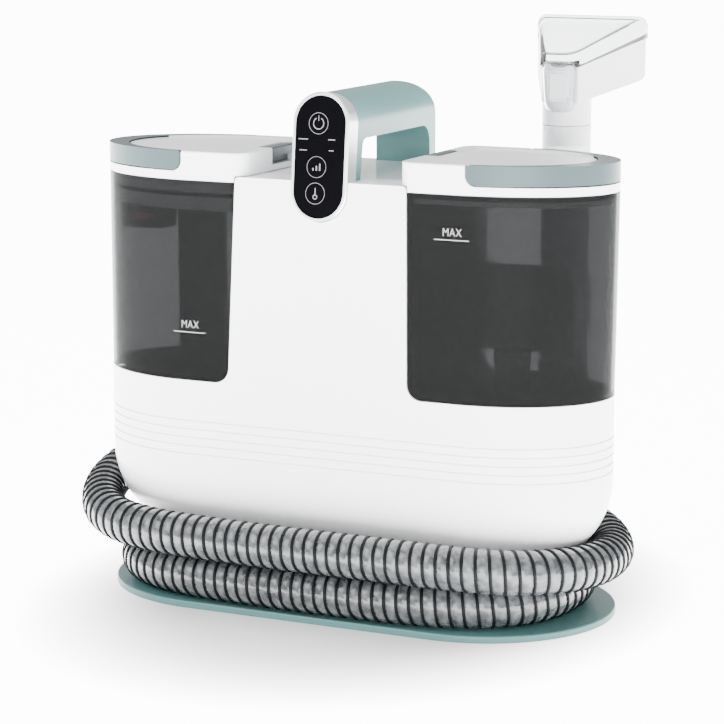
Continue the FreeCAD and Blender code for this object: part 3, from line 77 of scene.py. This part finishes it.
# the route of the hose's middle line, from the wand's cuff to the port's cuff
HOSE_ROUTE = [
    (0.126, 0.088, 0.146), (0.126, 0.088, 0.13), (0.12, 0.0905, 0.1155), (0.1086, 0.0945, 0.1046),
    (0.0935, 0.099, 0.0986), (0.072, 0.1035, 0.097), (0.026, 0.107, 0.0964), (-0.02, 0.1076, 0.096),
    (-0.07, 0.107, 0.0954), (-0.12, 0.1, 0.0946), (-0.166, 0.08, 0.0924), (-0.197, 0.044, 0.086),
    (-0.212, 0.002, 0.0714), (-0.2005, -0.04, 0.064), (-0.174, -0.076, 0.0574), (-0.13, -0.0926, 0.0548),
    (-0.075, -0.096, 0.0543), (-0.015, -0.097, 0.0539), (0.045, -0.0964, 0.054), (0.1, -0.094, 0.053),
    (0.148, -0.084, 0.051), (0.181, -0.055, 0.049), (0.194, -0.012, 0.0466), (0.189, 0.034, 0.0456),
    (0.162, 0.072, 0.05), (0.12, 0.0915, 0.0574), (0.076, 0.095, 0.0615), (0.032, 0.095, 0.0615),
    (-0.006, 0.09, 0.053), (-0.044, 0.084, 0.0385), (-0.084, 0.078, 0.027), (-0.124, 0.068, 0.0224),
    (-0.156, 0.046, 0.0219), (-0.173, 0.008, 0.0218), (-0.169, -0.036, 0.0219), (-0.144, -0.068, 0.0218),
    (-0.105, -0.0824, 0.0219), (-0.052, -0.086, 0.0218), (0, -0.087, 0.0219), (0.052, -0.0864, 0.0218),
    (0.102, -0.0816, 0.0219), (0.138, -0.066, 0.0218), (0.16, -0.036, 0.0219), (0.166, 0.004, 0.0218),
    (0.156, 0.044, 0.022), (0.136, 0.0706, 0.0222), (0.121, 0.0834, 0.0226), (0.107, 0.086, 0.0228),
    (0.094, 0.086, 0.0228),
]


# ---------------------------------------------------------------- camera
def make_camera():
    data = bpy.data.cameras.new("camera")
    data.lens = 131.3
    data.sensor_width = 36.0
    camera = bpy.data.objects.new("camera", data)
    camera.location = (0.8117, -1.7361, 0.5354)
    aim = Vector((0.0007, 0.0, 0.1748)) - camera.location
    camera.rotation_euler = aim.to_track_quat("-Z", "Y").to_euler()
    bpy.context.scene.collection.objects.link(camera)
    bpy.context.scene.camera = camera


# ---------------------------------------------------------------- small helpers
def link_mesh(name, vertices, faces, material, smooth=True):
    mesh = bpy.data.meshes.new(name)
    mesh.from_pydata(vertices, [], faces)
    mesh.update()
    piece = bpy.data.objects.new(name, mesh)
    bpy.context.scene.collection.objects.link(piece)
    mesh.materials.append(material)
    if smooth:
        mesh.shade_smooth()
    return piece


def add_node(tree, kind, **values):
    """A shader node with its sockets and settings given by name."""
    made = tree.nodes.new(kind)
    for key, value in values.items():
        socket = made.inputs.get(key.replace("_", " ").title())
        if socket is not None:
            socket.default_value = value
        else:
            setattr(made, key, value)
    return made


def shader(name, **sockets):
    """A new material and its Principled shader, with the given sockets set."""
    material = bpy.data.materials.new(name)
    material.use_nodes = True
    main = material.node_tree.nodes["Principled BSDF"]
    for key, value in sockets.items():
        main.inputs[key.replace("_", " ")].default_value = value
    return material, material.node_tree, main


def mottle(tree, main, low, high, scale, detail=3.0):
    """Slow variation of the base colour between two close colours."""
    place = add_node(tree, "ShaderNodeTexCoord")
    noise = add_node(tree, "ShaderNodeTexNoise", scale=scale, detail=detail)
    ramp = add_node(tree, "ShaderNodeValToRGB")
    ramp.color_ramp.elements[0].position = 0.35
    ramp.color_ramp.elements[0].color = (*low, 1.0)
    ramp.color_ramp.elements[1].position = 0.65
    ramp.color_ramp.elements[1].color = (*high, 1.0)
    tree.links.new(place.outputs["Object"], noise.inputs["Vector"])
    tree.links.new(noise.outputs["Fac"], ramp.inputs["Fac"])
    tree.links.new(ramp.outputs["Color"], main.inputs["Base Color"])
    return place


def grain(tree, main, place, scale, strength, distance=0.0002, stretch=None):
    """Fine surface relief from noise, drawn out along one axis when stretch is given."""
    noise = add_node(tree, "ShaderNodeTexNoise", scale=scale, detail=4.0)
    bump = add_node(tree, "ShaderNodeBump", strength=strength, distance=distance)
    source = place.outputs["Object"]
    if stretch:
        drawn = add_node(tree, "ShaderNodeMapping", scale=stretch)
        tree.links.new(source, drawn.inputs["Vector"])
        source = drawn.outputs["Vector"]
    tree.links.new(source, noise.inputs["Vector"])
    tree.links.new(noise.outputs["Fac"], bump.inputs["Height"])
    tree.links.new(bump.outputs["Normal"], main.inputs["Normal"])


def rough_patches(tree, main, place, low, high, scale):
    """Roughness that varies over the surface, as handling leaves it."""
    noise = add_node(tree, "ShaderNodeTexNoise", scale=scale, detail=5.0)
    spread = add_node(tree, "ShaderNodeMapRange")
    spread.inputs["To Min"].default_value = low
    spread.inputs["To Max"].default_value = high
    tree.links.new(place.outputs["Object"], noise.inputs["Vector"])
    tree.links.new(noise.outputs["Fac"], spread.inputs["Value"])
    tree.links.new(spread.outputs["Result"], main.inputs["Roughness"])


def moulded(name, colour, rough, relief=0.12, coat=0.0, spread=0.03, ior=1.45):
    """Injection-moulded plastic: slow tone change, uneven gloss and a very fine texture."""
    material, tree, main = shader(name, IOR=ior, Coat_Weight=coat)
    low = tuple(max(0.0, c - spread * c) for c in colour)
    place = mottle(tree, main, low, colour, 9.0)
    rough_patches(tree, main, place, rough - 0.04, rough + 0.05, 24.0)
    grain(tree, main, place, 1400.0, relief)
    return material


def clear_plastic(name, colour, rough, relief=0.03, ior=1.4, through=1.0, haze=0.04):
    """Moulded see-through plastic, with the slight waves a mould leaves."""
    material, tree, main = shader(name, IOR=ior, Transmission_Weight=through)
    low = tuple(0.97 * c for c in colour)
    place = mottle(tree, main, low, colour, 6.0)
    rough_patches(tree, main, place, rough, rough + haze, 12.0)
    grain(tree, main, place, 20.0, relief, 0.0006)
    return material


def metal(name, colour, rough, stretch, relief=0.2):
    """Metal with lines drawn out along the way it was brushed or turned."""
    material, tree, main = shader(name, Metallic=1.0)
    place = mottle(tree, main, tuple(0.9 * c for c in colour), colour, 30.0)
    rough_patches(tree, main, place, rough - 0.05, rough + 0.08, 60.0)
    grain(tree, main, place, 300.0, relief, 0.0001, stretch)
    return material


# ---------------------------------------------------------------- materials
def make_materials():
    white = (0.83, 0.835, 0.845)
    mint = (0.085, 0.20, 0.20)
    return {
        "white_shell": moulded("white_shell", white, 0.30, coat=0.15),
        "nozzle_white": moulded("nozzle_white", (0.60, 0.61, 0.63), 0.34, coat=0.1),
        "deck_white": moulded("deck_white", (0.80, 0.805, 0.815), 0.18, coat=0.4),
        "pale_green": moulded("pale_green", mint, 0.34, coat=0.1, spread=0.05),
        # the mint of pale_green made darker: painted shade on the bails and latches
        "bail_green_painted_shade": moulded("bail_green_painted_shade", (0.013, 0.038, 0.043), 0.36, coat=0.05, spread=0.05),
        "smoked_clear": clear_plastic("smoked_clear", (0.082, 0.084, 0.085), 0.03, 0.002, ior=1.05,
                                      through=0.93, haze=0.01),
        "clear": clear_plastic("clear", (0.93, 0.94, 0.95), 0.03),
        "cup_clear": clear_plastic("cup_clear", (0.88, 0.89, 0.90), 0.02, relief=0.03, ior=1.3),
        "window": clear_plastic("window", (0.42, 0.43, 0.445), 0.02, relief=0.03, ior=1.25),
        "wand_grey": clear_plastic("wand_grey", (0.90, 0.91, 0.93), 0.25, ior=1.3, through=0.55),
        "cuff_grey": moulded("cuff_grey", (0.10, 0.10, 0.11), 0.5, relief=0.3),
        "dark_plastic": moulded("dark_plastic", (0.012, 0.012, 0.014), 0.45, relief=0.25, ior=1.3),
        "rubber": moulded("rubber", (0.012, 0.012, 0.012), 0.75, relief=0.5),
        "bezel": metal("bezel", (0.84, 0.86, 0.88), 0.28, (1.0, 1.0, 12.0)),
        "black_glass": moulded("black_glass", (0.001, 0.001, 0.0015), 0.14, relief=0.0, ior=1.13),
        "foam": moulded("foam", (0.02, 0.02, 0.02), 0.95, relief=1.0),
        "circuit": moulded("circuit", (0.01, 0.07, 0.03), 0.35, relief=0.3),
        "steel": metal("steel", (0.60, 0.60, 0.62), 0.30, (1.0, 1.0, 20.0)),
        "motor_steel": metal("motor_steel", (0.42, 0.42, 0.44), 0.38, (1.0, 1.0, 30.0)),
        "fan_alloy": metal("fan_alloy", (0.66, 0.66, 0.68), 0.32, (20.0, 20.0, 1.0)),
        "brass": metal("brass", (0.62, 0.42, 0.16), 0.26, (20.0, 1.0, 1.0)),
        "pump_grey": moulded("pump_grey", (0.70, 0.70, 0.70), 0.45),
        "heater_alloy": metal("heater_alloy", (0.55, 0.56, 0.58), 0.48, (1.0, 1.0, 1.0), 0.5),
        "water_tube": clear_plastic("water_tube", (0.85, 0.85, 0.80), 0.3),
        "float_orange": moulded("float_orange", (0.50, 0.12, 0.02), 0.5),
        "mark_white": moulded("mark_white", (0.30, 0.30, 0.31), 0.5),
        "mark_grey": moulded("mark_grey", (0.11, 0.11, 0.115), 0.5),
        "rib_dark": moulded("rib_dark", (0.003, 0.004, 0.005), 0.4, relief=0.2, ior=1.2),
        "hose_skin": hose_skin(),
    }


def hose_skin():
    """Grey see-through film between the ribs, wrinkled across its length."""
    material, tree, main = shader("hose_skin", IOR=1.45, Transmission_Weight=0.25, Coat_Weight=0.6)
    place = mottle(tree, main, (0.036, 0.041, 0.043), (0.130, 0.137, 0.141), 150.0, 6.0)
    rough_patches(tree, main, place, 0.12, 0.28, 90.0)
    grain(tree, main, place, 240.0, 0.7, 0.0008)
    return material


def paint_nodes(materials):
    """Gives every CAD node its own look from NODE_LOOKS, or else its slot's material."""
    for entry in frame["record"]["subparts"]:
        node = nodes[entry["node"]]
        slot = NODE_LOOKS.get(entry["node"], entry["material_slot"])
        node.data.materials.clear()
        node.data.materials.append(materials.get(slot, materials["hose_skin"]))


# ---------------------------------------------------------------- hose
def route_points(name, route):
    """The smooth line that a NURBS spline through these control points makes."""
    data = bpy.data.curves.new(name, "CURVE")
    data.dimensions = "3D"
    spline = data.splines.new("NURBS")
    spline.points.add(len(route) - 1)
    for point, place in zip(spline.points, route):
        point.co = (*place, 1.0)
    spline.order_u = 3
    spline.use_endpoint_u = True
    spline.resolution_u = 24
    holder = bpy.data.objects.new(name, data)
    bpy.context.scene.collection.objects.link(holder)
    bpy.context.view_layer.update()
    mesh = bpy.data.meshes.new_from_object(holder)
    points = [v.co.copy() for v in mesh.vertices]
    bpy.data.objects.remove(holder)
    bpy.data.meshes.remove(mesh)
    return points


def even_frames(points, step):
    """Places at even steps along a line, each with its tangent and two steady side directions."""
    lengths = [0.0]
    for a, b in zip(points, points[1:]):
        lengths.append(lengths[-1] + (b - a).length)
    count = max(2, round(lengths[-1] / step))
    places, at = [], 0
    for i in range(count + 1):
        goal = lengths[-1] * i / count
        while at < len(points) - 2 and lengths[at + 1] < goal:
            at += 1
        share = (goal - lengths[at]) / max(1e-9, lengths[at + 1] - lengths[at])
        places.append(points[at].lerp(points[at + 1], share))
    frames, side = [], Vector((1.0, 0.0, 0.0))
    for i, place in enumerate(places):
        tangent = (places[min(i + 1, count)] - places[max(i - 1, 0)]).normalized()
        side = (side - tangent * side.dot(tangent)).normalized()
        frames.append((lengths[-1] * i / count, place, side, tangent.cross(side)))
    return frames


def make_hose(materials):
    points = route_points("hose_line", HOSE_ROUTE)
    rings = even_frames(points, RING_STEP)
    vertices, faces = [], []
    for run, place, side, other in rings:
        for k in range(RING_SIDES):
            turn = k / RING_SIDES
            phase = (run / RIB_PITCH - turn) % 1.0
            radius = HOSE_SKIN + HOSE_BULGE * math.sin(math.pi * phase) ** 0.7
            angle = math.tau * turn
            vertices.append(place + side * radius * math.cos(angle) + other * radius * math.sin(angle))
    for i in range(len(rings) - 1):
        for k in range(RING_SIDES):
            a, b = i * RING_SIDES + k, i * RING_SIDES + (k + 1) % RING_SIDES
            faces.append((a, b, b + RING_SIDES, a + RING_SIDES))
    skin = link_mesh("hose_skin", vertices, faces, materials["hose_skin"])
    rib = make_rib(rings, materials["rib_dark"])
    for piece in (skin, rib):
        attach(piece, "machine")
    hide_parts("hose")
    run = sum((b - a).length for a, b in zip(points, points[1:]))


def make_rib(rings, material):
    """The stiff spiral that keeps the hose round."""
    sides, steps = 6, 24
    total = rings[-1][0]
    count = int(total / RIB_PITCH * steps)
    line = []
    for i in range(count + 1):
        run = total * i / count
        index = run / total * (len(rings) - 1)
        low = min(int(index), len(rings) - 2)
        share = index - low
        place, side, other = (rings[low][j].lerp(rings[low + 1][j], share) for j in (1, 2, 3))
        angle = math.tau * run / RIB_PITCH
        outward = side * math.cos(angle) + other * math.sin(angle)
        line.append((place + outward * RIB_LINE, outward))
    vertices, faces = [], []
    for i, (place, outward) in enumerate(line):
        ahead = (line[min(i + 1, count)][0] - line[max(i - 1, 0)][0]).normalized()
        across = ahead.cross(outward).normalized()
        for k in range(sides):
            angle = math.tau * k / sides
            vertices.append(place + (outward * math.cos(angle) + across * math.sin(angle)) * RIB_RADIUS)
    for i in range(count):
        for k in range(sides):
            a, b = i * sides + k, i * sides + (k + 1) % sides
            faces.append((a, a + sides, b + sides, b))
    return link_mesh("hose_rib", vertices, faces, material)


# ---------------------------------------------------------------- printed marks
def ribbon(points, width):
    """Flat strip of even width along an open line of (x, z) points."""
    vertices, faces = [], []
    for i, (x, z) in enumerate(points):
        before, after = points[max(i - 1, 0)], points[min(i + 1, len(points) - 1)]
        ahead = Vector((after[0] - before[0], after[1] - before[1])).normalized() * width / 2
        vertices += [(x - ahead.y, z + ahead.x), (x + ahead.y, z - ahead.x)]
        if i:
            faces.append((2 * i - 2, 2 * i - 1, 2 * i + 1, 2 * i))
    return vertices, faces


def arc(centre, radius, start=0.0, stop=360.0):
    """(x, z) points round a circle, in degrees counted from the right."""
    count = max(6, int(abs(stop - start) / 6))
    turns = [math.radians(start + (stop - start) * i / count) for i in range(count + 1)]
    return [(centre[0] + radius * math.cos(t), centre[1] + radius * math.sin(t)) for t in turns]


def print_on(name, shapes, node, body, material="mark_white"):
    """Lays flat (x, z) shapes onto the front of a CAD node, a hair proud of it."""
    target = BVHTree.FromObject(nodes[node], bpy.context.evaluated_depsgraph_get())
    vertices, faces = [], []
    for flat, cells in shapes:
        start = len(vertices)
        for x, z in flat:
            spot = target.ray_cast(Vector((x, -1.0, z)), Vector((0.0, 1.0, 0.0)))[0]
            vertices.append((x, spot.y - MARK_LIFT, z))
        faces += [tuple(start + i for i in cell) for cell in cells]
    piece = link_mesh(name, vertices, faces, materials[material], smooth=False)
    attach(piece, body)


def level_mark(name, centre, line, tank):
    """A fill line with its word above it, on the front of a tank."""
    data = bpy.data.curves.new(name, "FONT")
    data.body = "MAX"
    data.size = LETTER_SIZE
    data.align_x = "CENTER"
    data.resolution_u = 3
    data.offset = -LETTER_THIN
    holder = bpy.data.objects.new(name + "_text", data)
    bpy.context.scene.collection.objects.link(holder)
    bpy.context.view_layer.update()
    mesh = bpy.data.meshes.new_from_object(holder)
    letters = [(centre[0] + LETTER_SQUEEZE * v.co.x, centre[1] + v.co.y) for v in mesh.vertices]
    cells = [tuple(face.vertices) for face in mesh.polygons]
    bpy.data.objects.remove(holder)
    bpy.data.meshes.remove(mesh)
    left, right, level = line
    dashes = [(left + (right - left) * i / 12, level) for i in range(13)]
    print_on(name, [(letters, cells), ribbon(dashes, LEVEL_LINE)], tank, tank)


def make_marks():
    level_mark("clean_level_mark", (0.1025, 0.2832), (0.0893, 0.1150, 0.2806), "clean_tank")
    level_mark("dirty_level_mark", (-0.1026, 0.2044), (-0.1160, -0.0901, 0.2014), "dirty_tank")
    line, middle = 0.00034, -0.0019
    power, suction, heat = (middle, 0.3568), (middle - 0.0003, 0.3262), (middle - 0.0005, 0.3077)
    shapes = [ribbon(arc(centre, 0.0074), line) for centre in (power, suction, heat)]
    shapes.append(ribbon(arc(power, 0.0040, 118, 422), 0.0007))
    shapes.append(ribbon([(power[0], power[1] + 0.0018), (power[0], power[1] + 0.0056)], 0.0005))
    for i, tall in enumerate((0.0018, 0.0034, 0.0050)):
        x = suction[0] + (i - 1) * 0.0026
        shapes.append(ribbon([(x, suction[1] - 0.0025), (x, suction[1] - 0.0025 + tall)], 0.0011))
    shapes.append(ribbon(arc((heat[0], heat[1] - 0.0024), 0.0015), 0.0007))
    shapes.append(ribbon([(heat[0], heat[1] - 0.0018), (heat[0], heat[1] + 0.0038)], 0.0009))
    for x, z, wide in ((-0.0134, 0.3455, 0.0076), (0.0088, 0.3457, 0.0054), (-0.0131, 0.3378, 0.0058),
                       (0.0088, 0.3381, 0.0036)):
        shapes.append(ribbon([(x - wide / 2, z), (x, z), (x + wide / 2, z)], 0.0007))
    print_on("key_marks", shapes, "control_glass", "machine", "mark_grey")


# ---------------------------------------------------------------- valve spring
def round_wire(name, kind, points, radius, material):
    """A round wire along points: straight runs for POLY, one smooth line for NURBS."""
    data = bpy.data.curves.new(name, "CURVE")
    data.dimensions = "3D"
    data.bevel_depth = radius
    data.bevel_resolution = 3
    spline = data.splines.new(kind)
    spline.points.add(len(points) - 1)
    for point, place in zip(spline.points, points):
        point.co = (*place, 1.0)
    if kind == "NURBS":
        spline.order_u = 3
        spline.use_endpoint_u = True
    data.materials.append(material)
    piece = bpy.data.objects.new(name, data)
    bpy.context.scene.collection.objects.link(piece)
    return piece


def make_spring():
    """Coil spring over the tank's valve, in the place of its plain sleeve."""
    low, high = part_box("valve_spring")
    middle = (low + high) / 2
    radius = (high.x - low.x) / 2 - SPRING_WIRE
    turns, steps = 6, 20
    count = turns * steps
    points = []
    for i in range(count + 1):
        angle = math.tau * i / steps
        rise = low.z + SPRING_WIRE + (high.z - low.z - 2 * SPRING_WIRE) * i / count
        points.append((middle.x + radius * math.cos(angle), middle.y + radius * math.sin(angle), rise))
    coil = round_wire("valve_coil", "POLY", points, SPRING_WIRE, materials["steel"])
    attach(coil, "clean_tank")
    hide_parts("valve_spring")


# ---------------------------------------------------------------- clear cover of the nozzle
HOOD_LIP = 0.0012
# how far along the hood each section is, and its share of the crown's height; over 1 it is the lip
HOOD_LINE = ((0.0, 0.05), (0.015, 0.40), (0.05, 0.66), (0.11, 0.86), (0.18, 0.96), (0.28, 1.0), (0.6, 1.0),
             (0.86, 1.0), (0.90, 1.0), (0.925, 1.07), (0.95, 1.12), (1.0, 1.12))
# level of each section of the cup, and its share of the full width
CUP_LINE = ((0.3955, 1.0), (0.3880, 0.99), (0.3740, 0.93), (0.3640, 0.88), (0.3600, 0.78), (0.3582, 0.60),
            (0.3574, 0.35), (0.3571, 0.05))
# (across from the middle, y, z) along the ridge
RIDGE_LINE = ((-0.0125, 0.072, 0.4005), (0.0, 0.0705, 0.4004), (0.0105, 0.0735, 0.4010),
              (0.0200, 0.090, 0.4082), (0.0300, 0.110, 0.4164), (0.0385, 0.127, 0.4226))


def skin_over(sections):
    """Vertices and faces of a skin over open lines of equal length."""
    wide = len(sections[0])
    vertices = [point for line in sections for point in line]
    faces = []
    for i in range(len(sections) - 1):
        for k in range(wide - 1):
            a = i * wide + k
            faces.append((a, a + 1, a + wide + 1, a + wide))
    return vertices, faces


def arch(half, low, high, corner):
    """(across, up) points up one side, over a flat top with round corners, and down the other side."""
    corner = min(corner, half * 0.9, (high - low) * 0.9)
    right = [(half, low), (half, (low + high - corner) / 2)]
    for i in range(9):
        turn = math.radians(90 * i / 8)
        right.append((half - corner + corner * math.cos(turn), high - corner + corner * math.sin(turn)))
    right.append(((half - corner) / 2, high))
    return [(-a, b) for a, b in right] + [(0.0, high)] + right[::-1]


def window_piece(name, sections, look, outward):
    """A clear wall over sections, grown outwards or inwards from them."""
    piece = link_mesh(name, *skin_over(sections), materials[look])
    wall = piece.modifiers.new("wall", "SOLIDIFY")
    wall.thickness = WINDOW_WALL
    wall.offset = outward
    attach(piece, "nozzle")
    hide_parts("nozzle_cover")


def make_hood(low, high):
    """Clear hood over the nozzle's fan, with a raised lip round its mouth."""
    middle = (low.x + high.x) / 2
    near, far = low.y + 0.0028, high.y
    narrow, wide = 0.0145, (high.x - low.x) / 2 - HOOD_LIP
    foot_near, foot_far = 0.3916, 0.4094
    crown_near, crown_far = 0.4000, high.z - 0.0018
    sections = []
    for run, rise in HOOD_LINE:
        half = narrow + (wide - narrow) * run + HOOD_LIP * (rise > 1.0)
        foot = foot_near + (foot_far - foot_near) * run
        crown = crown_near + (crown_far - crown_near) * run
        top = foot + (crown - foot) * min(rise, 1.0) + 0.0150 * max(0.0, rise - 1.0)
        y = near + (far - near) * run
        sections.append([(middle + a, y, b) for a, b in arch(half, foot, min(top, high.z), 0.0075)])
    window_piece("nozzle_hood", sections, "window", -1.0)


def make_cup(low, high):
    """Clear cup down the front of the nozzle, over its spray parts."""
    middle = (low.x + high.x) / 2 - 0.0005
    half, deep = 0.0135, 0.0118
    sections = []
    for level, share in CUP_LINE:
        line = arch(half * share, 0.0, deep * (0.35 + 0.65 * share), 0.0055)
        sections.append([(middle + a, low.y + deep - b, level) for a, b in line])
    window_piece("nozzle_cup", sections, "cup_clear", 1.0)


def make_ridge(low, high):
    """Thin ridge moulded along the hood's crease."""
    middle = (low.x + high.x) / 2
    points = [(middle + a, y, z) for a, y, z in RIDGE_LINE]
    ridge = round_wire("nozzle_ridge", "NURBS", points, 0.0009, materials["window"])
    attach(ridge, "nozzle")


def make_window():
    low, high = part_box("nozzle_cover")
    make_hood(low, high)
    make_cup(low, high)
    make_ridge(low, high)


# ---------------------------------------------------------------- studio
def make_studio():
    world = bpy.context.scene.world or bpy.data.worlds.new("world")
    bpy.context.scene.world = world
    world.use_nodes = True
    world.node_tree.nodes["Background"].inputs["Color"].default_value = (1.0, 1.0, 1.0, 1.0)
    world.node_tree.nodes["Background"].inputs["Strength"].default_value = 1.1
    floor_material = painted_shadow_floor()
    half = 30.0
    corners = [(-half, -half, 0.0), (half, -half, 0.0), (half, half, 0.0), (-half, half, 0.0)]
    floor = link_mesh("floor", corners, [(0, 1, 2, 3)], floor_material, smooth=False)
    area_light("key", (-1.2, -1.6, 1.9), 1.6, 45.0)
    area_light("fill", (1.9, -1.2, 1.2), 1.4, 15.0)
    area_light("top", (0.1, 0.2, 2.2), 1.8, 25.0)
    area_light("low", (0.5, -1.7, 0.22), 1.0, 30.0)


def painted_shadow_floor():
    """White studio paper that glows, with a painted shadow: the glow fades out in a soft ring round the
    object's foot.
    """
    material, tree, main = shader("painted_shadow_floor", Roughness=0.9, Specular_IOR_Level=0.05)
    place = mottle(tree, main, (0.90, 0.90, 0.90), (0.92, 0.92, 0.92), 3.0)
    shape = add_node(tree, "ShaderNodeMapping")
    shape.inputs["Scale"].default_value = (1.0 / SHADOW_HALF[0], 1.0 / SHADOW_HALF[1], 0.0)
    reach = add_node(tree, "ShaderNodeVectorMath", operation="LENGTH")
    rise = add_node(tree, "ShaderNodeMapRange")
    rise.inputs["From Min"].default_value = SHADOW_CORE
    bow = add_node(tree, "ShaderNodeMath", operation="POWER")
    bow.inputs[1].default_value = SHADOW_BOW
    glow = add_node(tree, "ShaderNodeMath", operation="MULTIPLY")
    glow.inputs[1].default_value = FLOOR_GLOW
    main.inputs["Emission Color"].default_value = (1.0, 1.0, 1.0, 1.0)
    tree.links.new(place.outputs["Object"], shape.inputs["Vector"])
    tree.links.new(shape.outputs["Vector"], reach.inputs[0])
    tree.links.new(reach.outputs["Value"], rise.inputs["Value"])
    tree.links.new(rise.outputs["Result"], bow.inputs[0])
    tree.links.new(bow.outputs["Value"], glow.inputs[0])
    tree.links.new(glow.outputs["Value"], main.inputs["Emission Strength"])
    return material


def area_light(name, place, size, power):
    data = bpy.data.lights.new(name, "AREA")
    data.shape = "SQUARE"
    data.size = size
    data.energy = power
    lamp = bpy.data.objects.new(name, data)
    lamp.location = place
    aim = Vector((0.0, 0.0, 0.2)) - lamp.location
    lamp.rotation_euler = aim.to_track_quat("-Z", "Y").to_euler()
    bpy.context.scene.collection.objects.link(lamp)


make_camera()
materials = make_materials()
make_hose(materials)
paint_nodes(materials)
make_marks()
make_spring()
make_window()
make_studio()
